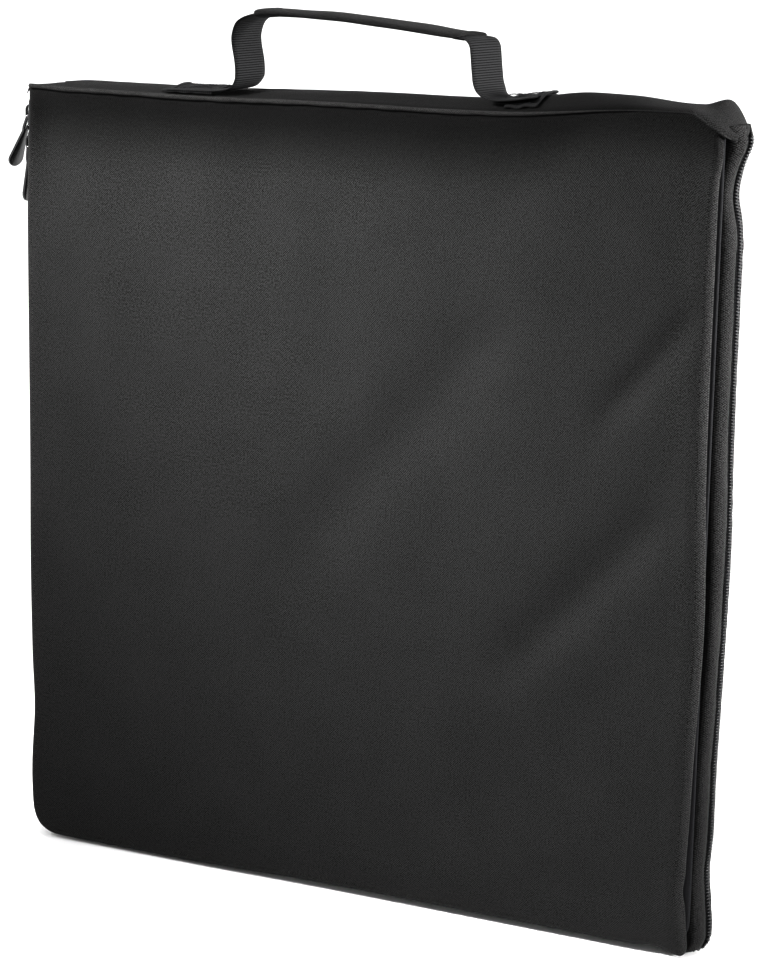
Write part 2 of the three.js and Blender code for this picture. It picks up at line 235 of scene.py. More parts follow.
def merged(name, pieces):
    """One object out of several, keeping the first one's materials."""
    with bpy.context.temp_override(
        active_object=pieces[0], selected_editable_objects=pieces, selected_objects=pieces,
    ):
        bpy.ops.object.join()
    pieces[0].name = name
    return pieces[0]


def place(piece, body, material, slot, *nodes):
    piece.data.materials.clear()
    piece.data.materials.append(material)
    if body:
        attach(piece, body)
    if nodes:
        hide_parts(*nodes)


# --- materials ------------------------------------------------------------------------------

class Nodes:
    """A new material, with short ways to add and join its shader nodes."""

    def __init__(self, name):
        self.material = bpy.data.materials.new(name)
        self.material.use_nodes = True
        self.tree = self.material.node_tree
        self.tree.nodes.clear()

    def add(self, kind, **settings):
        node = self.tree.nodes.new(kind)
        for key, value in settings.items():
            setattr(node, key, value)
        return node

    def join(self, source, target):
        self.tree.links.new(source, target)

    def feed(self, socket, value):
        if isinstance(value, bpy.types.NodeSocket):
            self.join(value, socket)
        else:
            socket.default_value = value

    def math(self, operation, a, b=0.0, c=0.0):
        node = self.add("ShaderNodeMath", operation=operation)
        for socket, value in zip(node.inputs, (a, b, c)):
            self.feed(socket, value)
        return node.outputs[0]

    def ridges(self, value, spacing=1.0):
        """0 at each multiple of the spacing, and 1 halfway between them."""
        return self.math("ABSOLUTE", self.math("SINE", self.math("MULTIPLY", value, math.pi / spacing)))

    def weave_place(self):
        """The place on the flat cloth in metres, as one vector and as its three parts."""
        source = self.add("ShaderNodeAttribute", attribute_name="weave")
        split = self.add("ShaderNodeSeparateXYZ")
        self.join(source.outputs["Vector"], split.inputs[0])
        return source.outputs["Vector"], split.outputs

    def noise(self, vector, scale, detail=2.0, roughness=0.5, stretch=(1, 1, 1)):
        scaled = self.add("ShaderNodeMapping")
        self.join(vector, scaled.inputs["Vector"])
        scaled.inputs["Scale"].default_value = stretch
        node = self.add("ShaderNodeTexNoise")
        self.join(scaled.outputs[0], node.inputs["Vector"])
        node.inputs["Scale"].default_value = scale
        node.inputs["Detail"].default_value = detail
        node.inputs["Roughness"].default_value = roughness
        return node.outputs["Fac"]

    def between(self, factor, low, high):
        """low where factor is 0, high where it is 1."""
        return self.math("MULTIPLY_ADD", factor, high - low, low)

    def tinted(self, colour, factor, low, high, dim=1.0):
        """The colour times a number that runs from low to high with factor, and times dim."""
        node = self.add("ShaderNodeVectorMath", operation="SCALE")
        node.inputs[0].default_value = colour
        scale = self.math("MAXIMUM", self.between(factor, low, high), 0.1)
        self.join(self.math("MULTIPLY", scale, dim), node.inputs["Scale"])
        return node.outputs[0]

    def bumped(self, height, distance, strength=1.0, under=None):
        """A normal that follows a height, on top of the normal `under`."""
        node = self.add("ShaderNodeBump")
        node.inputs["Distance"].default_value = distance
        node.inputs["Strength"].default_value = strength
        self.join(height, node.inputs["Height"])
        if under is not None:
            self.join(under, node.inputs["Normal"])
        return node.outputs[0]

    def surface(self, colour, roughness, normal=None, **sockets):
        """Ends the material with its shader, and gives the material."""
        shader = self.add("ShaderNodeBsdfPrincipled")
        self.feed(shader.inputs["Base Color"], colour)
        self.feed(shader.inputs["Roughness"], roughness)
        if normal is not None:
            self.join(normal, shader.inputs["Normal"])
        for key, value in sockets.items():
            shader.inputs[key.replace("_", " ")].default_value = value
        out = self.add("ShaderNodeOutputMaterial")
        self.join(shader.outputs[0], out.inputs[0])
        return self.material


def plain_weave(nodes, u, v, yarn):
    """Yarns that pass over and under each other: their height, and where the warp is on top."""
    u, v = nodes.math("DIVIDE", u, yarn), nodes.math("DIVIDE", v, yarn)
    across_u, across_v = nodes.ridges(u), nodes.ridges(v)
    cell = nodes.math("ADD", nodes.math("FLOOR", u), nodes.math("FLOOR", v))
    over = nodes.math("MULTIPLY", nodes.math("FRACT", nodes.math("MULTIPLY", cell, 0.5)), 2.0)
    warp = nodes.math("MULTIPLY", across_u, nodes.math("MULTIPLY_ADD", across_v, 0.5, 0.5))
    weft = nodes.math("MULTIPLY", across_v, nodes.math("MULTIPLY_ADD", across_u, 0.5, 0.5))
    warp_top = nodes.math("MULTIPLY", warp, over)
    weft_top = nodes.math("MULTIPLY", weft, nodes.math("SUBTRACT", 1.0, over))
    return nodes.math("ADD", warp_top, weft_top), warp_top


def nylon_material(name, colour, yarn, relief, roughness, contrast):
    """Woven nylon: uneven yarns, dye and finish, creases too fine to model, and painted shade that
    darkens it by each vertex's shade value.
    """
    nodes = Nodes(name)
    vector, (u, v, _) = nodes.weave_place()
    slub = nodes.noise(vector, 0.2 / yarn, detail=2.0, roughness=0.6)
    slub_v = nodes.noise(vector, 0.17 / yarn, detail=2.0, roughness=0.6, stretch=(1.3, 0.8, 1))
    u = nodes.math("MULTIPLY_ADD", slub, 2.0 * yarn, u)
    v = nodes.math("MULTIPLY_ADD", slub_v, 2.0 * yarn, v)
    height, floats = plain_weave(nodes, u, v, yarn)
    mottle = nodes.noise(vector, 0.55 / yarn, detail=3.0, roughness=0.75)
    cloud = nodes.noise(vector, 26, detail=3.0)
    shade = nodes.math("MULTIPLY_ADD", mottle, 0.94, nodes.math("MULTIPLY", cloud, 0.06))
    shade = nodes.math("MULTIPLY_ADD", floats, 0.34, nodes.math("MULTIPLY", shade, 0.83))
    # painted shade: a per-vertex value that darkens the nylon under the top seam, in the side grooves,
    # on the top panel and on the grip sleeve
    painted_shade = nodes.add("ShaderNodeAttribute", attribute_name="painted_shade").outputs["Fac"]
    dim = nodes.between(painted_shade, 1.0, 0.36)
    tint = nodes.tinted(colour, shade, 1 - 3.8 * contrast, 1 + 4.1 * contrast, dim)
    rough = nodes.between(mottle, roughness - 0.2, roughness + 0.2)
    creases = nodes.bumped(nodes.noise(vector, 60, detail=4.0, roughness=0.55), 0.4 * MM, 0.35)
    grain = nodes.bumped(mottle, 0.25 * MM, 0.9, creases)
    normal = nodes.bumped(height, relief, 0.9, grain)
    return nodes.surface(
        tint, rough, normal, Sheen_Weight=0.02, Sheen_Roughness=0.45, Specular_IOR_Level=0.03,
    )


def webbing_material(name, colour, rib, roughness):
    """Ribbed webbing: ribs across its length, with a fine warp twill over them."""
    nodes = Nodes(name)
    vector, (u, v, _) = nodes.weave_place()
    ribs = nodes.math("POWER", nodes.ridges(u, rib), 0.6)
    warp, _ = plain_weave(nodes, u, v, rib / 2)
    height = nodes.math("MULTIPLY_ADD", ribs, 0.72, nodes.math("MULTIPLY", warp, 0.28))
    fuzz = nodes.noise(vector, 900, detail=2.0, roughness=0.6)
    # painted shade: the colour follows the ribs' height, darker in the grooves between them, with a
    # random fuzz tone
    shade = nodes.math("MULTIPLY_ADD", height, 0.7, nodes.math("MULTIPLY", fuzz, 0.3))
    tint = nodes.tinted(colour, shade, -1.9, 2.7)
    normal = nodes.bumped(height, 0.6 * MM, 0.9, nodes.bumped(fuzz, 0.12 * MM, 0.6))
    rough = nodes.between(fuzz, roughness - 0.1, roughness + 0.1)
    return nodes.surface(tint, rough, normal, Specular_IOR_Level=0.07)


def coil_material(name, colour):
    """Nylon monofilament: smooth and half glossy, with fine scuffs."""
    nodes = Nodes(name)
    vector, _ = nodes.weave_place()
    scuff = nodes.noise(vector, 700, detail=3.0, roughness=0.7)
    tint = nodes.tinted(colour, scuff, 0.6, 1.5)
    rough = nodes.between(scuff, 0.2, 0.42)
    normal = nodes.bumped(scuff, 0.05 * MM, 0.4)
    return nodes.surface(tint, rough, normal, Specular_IOR_Level=0.25)


def enamel_material(name, colour):
    """Gloss black enamel over die-cast zinc, orange-peeled, with light handling marks."""
    nodes = Nodes(name)
    vector, _ = nodes.weave_place()
    peel = nodes.noise(vector, 900, detail=1.0)
    marks = nodes.noise(vector, 260, detail=5.0, roughness=0.75, stretch=(1, 1, 0.15))
    tint = nodes.tinted(colour, marks, 0.7, 1.6)
    rough = nodes.between(marks, 0.12, 0.34)
    normal = nodes.bumped(marks, 0.02 * MM, 0.5, nodes.bumped(peel, 0.03 * MM, 0.5))
    return nodes.surface(tint, rough, normal, Metallic=0.25, Coat_Weight=0.6, Coat_Roughness=0.12)


def foam_material(name, colour):
    """Closed-cell foam, its cut cells showing as pits."""
    nodes = Nodes(name)
    vector, _ = nodes.weave_place()
    cells = nodes.add("ShaderNodeTexVoronoi")
    nodes.join(vector, cells.inputs["Vector"])
    cells.inputs["Scale"].default_value = 900
    pits = cells.outputs["Distance"]
    normal = nodes.bumped(pits, 0.3 * MM, 0.7)
    # painted shade: darker in the pits of the cut cells
    return nodes.surface(nodes.tinted(colour, pits, 0.75, 1.15), 0.9, normal, Specular_IOR_Level=0.2)


# name, colour, yarn spacing, height of the weave, roughness and contrast of the yarns
shell_nylon = nylon_material(
    "shell_nylon", (0.0152, 0.0150, 0.0149), 0.8 * MM, 0.26 * MM, 0.7, 0.8,
)
lining_cloth = nylon_material("lining_cloth", (0.02, 0.02, 0.0215), 0.3 * MM, 0.08 * MM, 0.5, 0.4)
tape_cloth = nylon_material("tape_cloth", (0.009, 0.009, 0.0095), 0.5 * MM, 0.18 * MM, 0.7, 0.6)
thread = nylon_material("thread", (0.016, 0.016, 0.017), 0.3 * MM, 0.08 * MM, 0.5, 0.5)
webbing = webbing_material("webbing", (0.0095, 0.0095, 0.0098), 1.65 * MM, 0.62)
coil_plastic = coil_material("coil_plastic", (0.011, 0.011, 0.0115))
slider_metal = enamel_material("slider_metal", (0.008, 0.008, 0.0085))
foam = foam_material("foam", (0.3, 0.3, 0.29))


# --- how the bag has settled ----------------------------------------------------------------

def groove_sway(z):
    """How far the right-hand seam of the front panel strays outwards at a height."""
    return MM * (
        -3.4 + 4.0 * bump(z, 0.23, 0.075) - 1.2 * bump(z, 0.06, 0.03)
        + 2.6 * bump(z, 0.545, 0.014) + 3.0 * bump(z, 0.0, 0.02)
    )


def zip_sway(z):
    """How far the right-hand zip strays outwards at a height."""
    return MM * (
        1.9 * bump(z, 0.28, 0.06) - 1.2 * bump(z, 0.12, 0.04) - 2.6 * bump(z, 0.055, 0.018)
        + 1.2 * bump(z, 0.02, 0.012) - 5.2 * bump(z, 0.514, 0.017) + 4.6 * bump(z, 0.548, 0.01)
    )


def left_sway(z):
    """How far the left-hand edge strays outwards at a height."""
    return MM * (
        3.4 + 1.8 * bump(z, 0.045, 0.03) - 1.4 * bump(z, 0.1, 0.025) + 0.8 * bump(z, 0.21, 0.06)
        - 3.0 * bump(z, 0.56, 0.05)
    )


def seam_rise(x):
    """How far the front top seam stands above the top of the frame, along the bag."""
    return MM * (
        -0.9 + 1.2 * bump(x, -0.256, 0.02) - 1.0 * bump(x, -0.12, 0.05) - 0.5 * bump(x, 0.06, 0.03)
        + 6.6 * ease(x, 0.1, 0.215) - 9.0 * ease(x, 0.236, 0.258)
    )


def rear_rise(x):
    """How far the rear top seam stands above the top of the frame, along the bag."""
    return MM * (
        1.0 + 2.6 * ease(x, -0.14, 0.0) + 4.6 * ease(x, 0.09, 0.16) - 2.4 * ease(x, 0.19, 0.235)
        - 9.5 * ease(x, 0.249, 0.268) - 2.0 * ease(-x, 0.235, 0.266)
    )


def bottom_rise(x):
    """How far the front panel's lower edge stands above the bottom of the frame, along the bag."""
    return MM * (
        -2.2 + 3.0 * ease(x, -0.15, 0.0) + 2.0 * bump(x, 0.236, 0.012) - 3.2 * bump(x, 0.2545, 0.011)
    )


def top_crown(x):
    """How far the top panel's middle stands up, along the bag."""
    return MM * (
        1.8 + 3.4 * ease(x, -0.14, 0.05) + 4.6 * ease(x, 0.1, 0.165) - 2.6 * ease(x, 0.185, 0.225)
    )


FOLDS = (
    # where a soft fold starts and ends on the front panel in x and z, its half width and its depth
    ((0.250, 0.436), (0.184, 0.357), 0.0105, 5.2 * MM),
    ((0.229, 0.300), (0.119, 0.179), 0.016, 4.6 * MM),
    ((0.103, 0.415), (-0.042, 0.232), 0.024, 3.8 * MM),
    ((0.249, 0.526), (0.204, 0.541), 0.0075, 2.6 * MM),
)


def folds(x, z):
    """Depth of the diagonal folds that pull across the front panel."""
    total = np.zeros_like(x)
    for (x0, z0), (x1, z1), width, depth in FOLDS:
        length = math.hypot(x1 - x0, z1 - z0)
        along = ((x - x0) * (x1 - x0) + (z - z0) * (z1 - z0)) / length ** 2
        aside = ((x - x0) * (z1 - z0) - (z - z0) * (x1 - x0)) / length
        ends = ease(along, -0.15, 0.08) * (1 - ease(along, 0.65, 1.2))
        total = total + depth * ends * bump(aside, 0, width)
    return total


CLOTH_FRAMES = 20


CLOTH = {
    "quality": 5, "mass": 0.35, "tension_stiffness": 40, "compression_stiffness": 40,
    "shear_stiffness": 20, "bending_stiffness": 6, "shrink_min": -0.004,
    "vertex_group_mass": "held", "use_pressure": True, "uniform_pressure_force": 1.2,
}


def simulated_puff(name, seed, crown):
    """Cloth held along a panel's edge and pushed out by the foam, `crown` high at its highest.
    Gives its relief at x, z."""
    columns, rows = 64, 69
    xs = np.linspace(-HALF_WIDTH, HALF_WIDTH, columns)
    zs = np.linspace(0, HEIGHT, rows)
    grid_x, grid_z = np.meshgrid(xs, zs)
    stray = wander(seed, 0.07)(grid_x, grid_z)
    points = stacked(grid_x, -0.4 * MM * stray, grid_z)
    sheet = build(name, points, strip_faces(rows, columns), outward=False)
    held = sheet.vertex_groups.new(name="held")
    edge = (np.abs(points[:, 0]) > HALF_WIDTH - MM) | (points[:, 2] < MM)
    edge |= points[:, 2] > HEIGHT - MM
    held.add([int(i) for i in np.nonzero(edge)[0]], 1.0, "ADD")
    cloth = sheet.modifiers.new("cloth", "CLOTH")
    for key, value in CLOTH.items():
        setattr(cloth.settings, key, value)
    cloth.settings.effector_weights.gravity = 0.15
    cloth.collision_settings.use_collision = False
    scene = bpy.context.scene
    for step in range(1, CLOTH_FRAMES + 1):
        scene.frame_set(step)
    result = sheet.evaluated_get(bpy.context.evaluated_depsgraph_get())
    settled = np.zeros(len(points) * 3)
    result.data.vertices.foreach_get("co", settled)
    relief = np.maximum(-settled[1::3].reshape(rows, columns), 0)
    relief *= crown / relief.max()
    bpy.data.objects.remove(sheet)
    scene.frame_set(1)

    def at(x, z):
        """The relief between the four nearest points of the sheet."""
        u = np.clip((x + HALF_WIDTH) / (2 * HALF_WIDTH) * (columns - 1), 0, columns - 1.001)
        v = np.clip(z / HEIGHT * (rows - 1), 0, rows - 1.001)
        i, j = u.astype(int), v.astype(int)
        fu, fv = u - i, v - j
        low = relief[j, i] * (1 - fu) + relief[j, i + 1] * fu
        high = relief[j + 1, i] * (1 - fu) + relief[j + 1, i + 1] * fu
        return low * (1 - fv) + high * fv

    return at


# --- padded panels --------------------------------------------------------------------------

def grid_lines(low, high):
    """Lines from low to high, close together where the edges roll."""
    border = ROLL * (1 - np.cos(np.radians(ROLL_ANGLES)))
    inner = np.linspace(low + ROLL, high - ROLL, round((high - low - 2 * ROLL) / GRID) + 1)
    return np.concatenate([low + border, inner, (high - border)[::-1]])


def rounded_corners(x, z, half, top, corners):
    """Draws a rectangular grid's corners in to arcs. `corners` has (side, end, radius)."""
    for side, end, radius in corners:
        centre_x = side * (half - radius)
        centre_z = top - radius if end > 0 else radius
        px, pz = (x - centre_x) * side, (z - centre_z) * end
        inside = (px > 0) & (pz > 0)
        reach = np.where(inside, np.hypot(px, pz), 1)
        scale = np.where(inside, np.maximum(px, pz) / reach, 1)
        x = np.where(inside, centre_x + side * px * scale, x)
        z = np.where(inside, centre_z + end * pz * scale, z)
    return x, z


def border_loop(rows, columns):
    """Indices round the edge of a grid, in order."""
    bottom = list(range(columns))
    right = [i * columns + columns - 1 for i in range(1, rows)]
    top = [(rows - 1) * columns + j for j in range(columns - 2, -1, -1)]
    left = [i * columns for i in range(rows - 2, 0, -1)]
    return bottom + right + top + left


# A panel's corners: their side in x, their end in z and their radius.
CORNERS = ((-1, -1, CORNER_LEFT), (1, -1, CORNER_RIGHT), (-1, 1, 2 * MM), (1, 1, 3 * MM))
# How far each ring round a panel's rim is drawn in, and its depth as a share of the panel's.
RIM_RINGS = ((2.2 * MM, 0.74), (4.0 * MM, 0.85), (4.7 * MM, 0.95))
BACK_INSET = 5.0 * MM  # how far the back lies in from the face's outline


def drawn_in(points, half, amount):
    """Points drawn towards the middle of a panel, so that its edge, `half` out, moves in by
    `amount`."""
    middle = HEIGHT / 2
    moved = points.copy()
    moved[:, 0] = points[:, 0] * (1 - amount / half)
    moved[:, 2] = middle + (points[:, 2] - middle) * (1 - amount / middle)
    return moved


def rolled(inset, radius):
    """How far a rolled edge has turned back, `inset` in from its outermost line."""
    left = np.clip(radius - inset, 0, radius)
    return radius - np.sqrt(radius ** 2 - left ** 2)


def panel_form(inset, roll, back, relief, shape, sink=0.0):
    """A padded slab, closed: face, rolled edge, rim and a back `back` behind the face.
    relief(x, z) is how far the face stands out, shape(x, z) moves the outline, and sink is how
    deep the whole slab lies under a skin outside it."""
    half, top = HALF_WIDTH - inset, HEIGHT - inset
    x, z = np.meshgrid(grid_lines(-half, half), grid_lines(inset, top))
    rows, columns = x.shape
    side_in = np.minimum(half - np.abs(x), z - inset)
    top_in = top - z
    depth = np.maximum(rolled(side_in, roll), rolled(top_in, min(roll, TOP_ROLL)))
    x, z = rounded_corners(x, z - inset, half, top - inset, CORNERS)
    z = z + inset
    face_x, face_z = shape(x, z)
    full = ease(side_in, 0, 3 * ROLL) * ease(z - inset, 0, 3 * ROLL)
    depth = np.minimum(depth + sink - relief(x, z) * full, back - 0.2 * MM)
    points = stacked(face_x, depth, face_z)
    flat = stacked(x, z, np.zeros_like(x))

    loop = border_loop(rows, columns)
    parts, cloth = [points], [flat]
    for drawn, share in RIM_RINGS:
        ring = drawn_in(points[loop], half, drawn)
        ring[:, 1] = np.maximum(ring[:, 1], back * share)
        parts.append(ring)
        cloth.append(flat[loop] * (1 - drawn / half))
    underside = drawn_in(points, half, BACK_INSET)
    underside[:, 1] = back
    parts.append(underside)
    cloth.append(flat)

    first, count = len(points), len(loop)
    last = first + len(RIM_RINGS) * count
    rings = [range(start, start + count) for start in range(first, last, count)]
    loops = [loop, *rings, [last + k for k in loop]]
    face_grid = strip_faces(rows, columns)
    faces = list(face_grid)
    for near, far in zip(loops, loops[1:]):
        faces += [(near[k - 1], far[k - 1], far[k], near[k]) for k in range(count)]
    faces += [tuple(last + k for k in face)[::-1] for face in face_grid]
    return np.concatenate(parts), faces, np.concatenate(cloth)


def in_place(points, side):
    """Moves points drawn behind a face at y = 0 to the front (side -1) or rear face of the bag."""
    placed = points.copy()
    placed[:, 0] += CENTRE_X
    placed[:, 1] = side * (HALF_DEPTH - points[:, 1])
    return placed


rough_front = wander(11, 0.11)
fine_front = wander(12, 0.035)
rough_rear = wander(21, 0.12)
fine_rear = wander(22, 0.035)
front_puff = simulated_puff("front_sim", 3, 4.0 * MM)
rear_puff = simulated_puff("rear_sim", 5, 3.0 * MM)


def front_relief(x, z):
    """The front face's crown, the hollow under its top seam, its folds and its padded edge."""
    below = HEIGHT - z
    hollow = 5.0 * MM * ease(below, 0, 0.02) * (1 - ease(below, 0.02, 0.13))
    hollow = hollow * (1 - 0.4 * ease(x, 0.12, 0.2))
    stray = 0.28 * MM * rough_front(x, z) + 0.09 * MM * fine_front(x, z)
    edge = 2.3 * MM * bump(x, HALF_WIDTH - 8 * MM, 5.5 * MM) * (1 - ease(z, 0.495, 0.51))
    return front_puff(x, z) - hollow + stray + edge - folds(x, z)


def rear_relief(x, z):
    """The rear face's crown, a little uneven."""
    return rear_puff(x, z) + 0.8 * MM * rough_rear(x, z) + 0.12 * MM * fine_rear(x, z)


def strayed(x, z):
    """Where a panel's points lie across the bag, its edges strayed as its gusset's seam has."""
    right = ease(x, 0.3 * HALF_WIDTH, HALF_WIDTH) * groove_sway(z)
    left = ease(-x, 0.3 * HALF_WIDTH, HALF_WIDTH) * left_sway(z)
    return x + right - left


def front_shape(x, z):
    """The front panel's outline, as it has settled."""
    tuck = -2.2 * MM * bump(z, 0.046, 0.006) * ease(x, HALF_WIDTH - 0.02, HALF_WIDTH)
    settled = strayed(x, z) + tuck
    rise = seam_rise(settled) * ease(z, HEIGHT - 0.1, HEIGHT)
    low = ease(HEIGHT - z, HEIGHT - 0.09, HEIGHT)
    return settled, z + rise + bottom_rise(x) * low


def rear_shape(x, z):
    """The rear panel's outline: it follows the top panel's rear edge."""
    low = ease(HEIGHT - z, HEIGHT - 0.09, HEIGHT)
    settled = strayed(x * (1 - MM / HALF_WIDTH), z)
    rise = (rear_rise(settled) - 1.6 * MM) * ease(z, HEIGHT - 0.1, HEIGHT)
    return settled, z + rise + 0.5 * bottom_rise(x) * low


FOAM_INSET = 5 * MM
FOAM_SINK = 2 * MM


def padded_panel(prefix, side, body, relief, shape, roll):
    """A panel's nylon skin, and the foam inside it that follows the same form."""
    points, faces, weave = panel_form(0, roll, RIM_DEPTH, relief, shape)
    # painted shade: a dark band under the top seam that fades to the right, and darker still deep in
    # the groove at the panel's rim
    in_groove = ease(points[:, 1], 4.5 * MM, 6.5 * MM)
    below = HEIGHT - weave[:, 1] + 0.018 * ease(weave[:, 0], 0.1, 0.2)
    under_seam = 1 - ease(below, 0.012, 0.06)
    painted_shade = np.maximum(under_seam, 1.25 * in_groove)
    skin = build(f"{prefix}_panel_skin", in_place(points, side), faces, weave, painted_shade=painted_shade)
    modifier(skin, "SUBSURF", levels=1, render_levels=1)
    apply_modifiers(skin)
    place(skin, body, shell_nylon, "shell_nylon", f"{prefix}_panel")

    back = RIM_DEPTH - GAP
    points, faces, weave = panel_form(FOAM_INSET, roll, back, relief, shape, sink=FOAM_SINK)
    core = build(f"{prefix}_foam", in_place(points, side), faces, weave)
    place(core, body, foam, "padding_foam", f"{prefix}_padding")


padded_panel(*HALVES[0], front_relief, front_shape, ROLL)
padded_panel(*HALVES[1], rear_relief, rear_shape, RIM_DEPTH)


# --- linings --------------------------------------------------------------------------------

def lining_sheet(node, body, points, grid, cloth):
    """A lining made from its grid of points, stretched over its foam. `flat` is its cut size."""
    sheet = build(f"{node}_cloth", points, strip_faces(*grid), cloth)
    modifier(sheet, "SOLIDIFY", thickness=LINING, offset=0)
    apply_modifiers(sheet)
    place(sheet, body, lining_cloth, "lining_cloth", node)


def panel_lining(prefix, side, body):
    """A panel's lining: a sheet with soft wrinkles, its edges turned in to the seam."""
    low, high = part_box(f"{prefix}_lining")
    x, z = np.meshgrid(np.linspace(low.x, high.x, 96), np.linspace(low.z, high.z, 102))
    centre, half = (low.x + high.x) / 2, (high.x - low.x) / 2
    inset = np.minimum(half - np.abs(x - centre), np.minimum(z - low.z, high.z - z))
    loose = ease(inset, 0, 0.03)
    seed = 31 + side
    relief = 0.5 * MM * wander(seed, 0.09)(x, z) + 0.22 * MM * wander(seed + 1, 0.028)(x, z)
    flat_x, flat_z = rounded_corners(
        x - centre, z - low.z, half, high.z - low.z,
        ((-1, -1, CORNER_LEFT), (1, -1, CORNER_LEFT)),
    )
    clear = 0.4 * MM + (relief + 0.8 * MM) * loose
    inner = low.y if side > 0 else high.y
    points = stacked(flat_x + centre, inner - side * clear, flat_z + low.z)
    cloth = stacked(x, z, np.zeros_like(x))
    lining_sheet(f"{prefix}_lining", body, points, x.shape, cloth)


for half in HALVES:
    panel_lining(*half)


# --- the zipped sides -----------------------------------------------------------------------

def zip_route(top, spacing):
    """Stations down the right side, round the bottom and up the left: how far along they are, their
    places in x and z, and the directions out of the bag and along the route."""
    line = [(HALF_WIDTH, top)]
    for side, radius, start in ((1, CORNER_RIGHT, 0), (-1, CORNER_LEFT, -math.pi / 2)):
        for angle in np.linspace(start, start - math.pi / 2, 17):
            x = side * (HALF_WIDTH - radius) + radius * math.cos(angle)
            line.append((x, BOTTOM_LINE + radius + radius * math.sin(angle)))
    line.append((-HALF_WIDTH, top))
    line = np.array(line)
    s = arc_lengths(line)
    at = np.linspace(0, s[-1], round(s[-1] / spacing) + 1)
    places = np.stack([np.interp(at, s, line[:, 0]), np.interp(at, s, line[:, 1])], axis=1)
    along = directions(places)
    normals = np.stack([-along[:, 1], along[:, 0]], axis=1)
    return at, places, normals, along


def off_route(places, normals, bulge, y):
    """Points `bulge` out past the route, strayed as the seam and the zip have."""
    bulge = np.broadcast_to(bulge, len(places))
    share = np.clip(bulge / ZIP_BULGE, 0, 1)
    z = places[:, 1]
    right = groove_sway(z) * (1 - share) + zip_sway(z) * share
    left = left_sway(z) * np.clip(1 - 1.3 * share, 0, 1)  # straight where the sliders run
    stray = np.where(normals[:, 0] > 0, right, left) * np.abs(normals[:, 0])
    reach = bulge * (1 - BOTTOM_FLATTENING * normals[:, 1] ** 2) + stray
    x = places[:, 0] + normals[:, 0] * reach + CENTRE_X
    points = np.stack([x, np.broadcast_to(y, len(places)), z + normals[:, 1] * reach], axis=1)
    droop = BOTTOM_DROOP * (0.5 + 0.5 * ease(x - CENTRE_X, 0.2, 0.25))
    points[:, 2] -= droop * (1 - ease(points[:, 2], 0, 0.06))
    return points


def zipped_loft(name, ring, side, top, spacing, pucker, seed, painted_shade=None):
    """A strip along the route, on one side of the zip. Its section is a ring of bulge and y, in
    millimetres, and pucker is how uneven it is."""
    at, places, normals, _ = zip_route(top, spacing)
    slow, quick = wander(seed, 0.05), wander(seed + 1, 0.014)
    corners = []
    for bulge, depth in ring:
        y = side * depth
        stray = pucker * (slow(at, at * 0 + y / 40) + 0.5 * quick(at, at * 0 + y / 90))
        corners.append(off_route(places, normals, bulge * MM + stray, y * MM))
    return loft(name, np.stack(corners, axis=1), painted_shade=painted_shade)


# The gusset's section: from the panel, out beside the groove, round to the zip and back inside.
GUSSET_RING = (
    (-4.6, 14.6), (-2.0, 13.9), (0.6, 13.5), (3.0, 12.7), (5.0, 11.0), (6.3, 8.9), (6.8, 6.8),
    (6.7, 5.2), (6.2, 4.5), (5.5, 4.7), (5.3, 5.8), (5.4, 7.2), (4.9, 8.6), (3.8, 10.2),
    (2.2, 11.6), (0.2, 12.5), (-2.2, 12.9), (-4.4, 13.5),
)
COIL_PITCH = 2.1 * MM
# Sections of one turn of the coil, from the tape to its head: y, half width and half height.
COIL_TURN = (
    (3.75, 0.3, 0.5), (3.35, 0.46, 1.0), (1.6, 0.46, 1.24), (0.2, 0.48, 1.28), (-0.5, 0.6, 1.15),
    (-0.9, 0.42, 0.7),
)


def coil(prefix, side, phase, body):
    """One half of the zip's coil: a row of turns that interlock with the other half's."""
    _, places, normals, along = zip_route(ZIP_TOP, COIL_PITCH)
    places = places + along * phase * COIL_PITCH
    angles = np.radians(np.arange(0, 360, 60) + 30)
    middle = ZIP_BULGE - 1.3 * MM
    shapes = []
    for y, half_width, half_height in COIL_TURN:
        centre = off_route(places, normals, middle, side * y * MM)
        droop = 0.5 * MM if y > 3.5 else 0
        for angle in angles:
            forth = math.cos(angle) * half_width * MM
            out = math.sin(angle) * half_height * MM - droop
            moved = centre.copy()
            moved[:, 0] += along[:, 0] * forth + normals[:, 0] * out
            moved[:, 2] += along[:, 1] * forth + normals[:, 1] * out
            shapes.append(moved)
    points = np.stack(shapes, axis=1)
    turns, size, _ = points.shape
    tube = (len(COIL_TURN), len(angles))
    pattern = strip_faces(*tube, closed=True) + [cap[::-1] for cap in caps(*tube)]
    faces = [tuple(k + turn * size for k in face) for turn in range(turns) for face in pattern]
    piece = build(f"{prefix}_coil", points.reshape(-1, 3), faces)
    place(piece, body, coil_plastic, "zip_coil", f"{prefix}_zip_coil")


# The binding's section, folded over the raw seam.
BINDING_RING = ((-3.8, 12.4), (-2.8, 12.5), (-2.2, 10), (-2.4, 7.6), (-3.2, 7.4), (-3.3, 10))
TAPE_OUT = TAPE_BULGE / MM
TAPE_IN = TAPE_OUT - 0.8
TAPE_RING = ((TAPE_IN, 0.9), (TAPE_OUT, 0.9), (TAPE_OUT, 7.4), (TAPE_IN, 7.4))


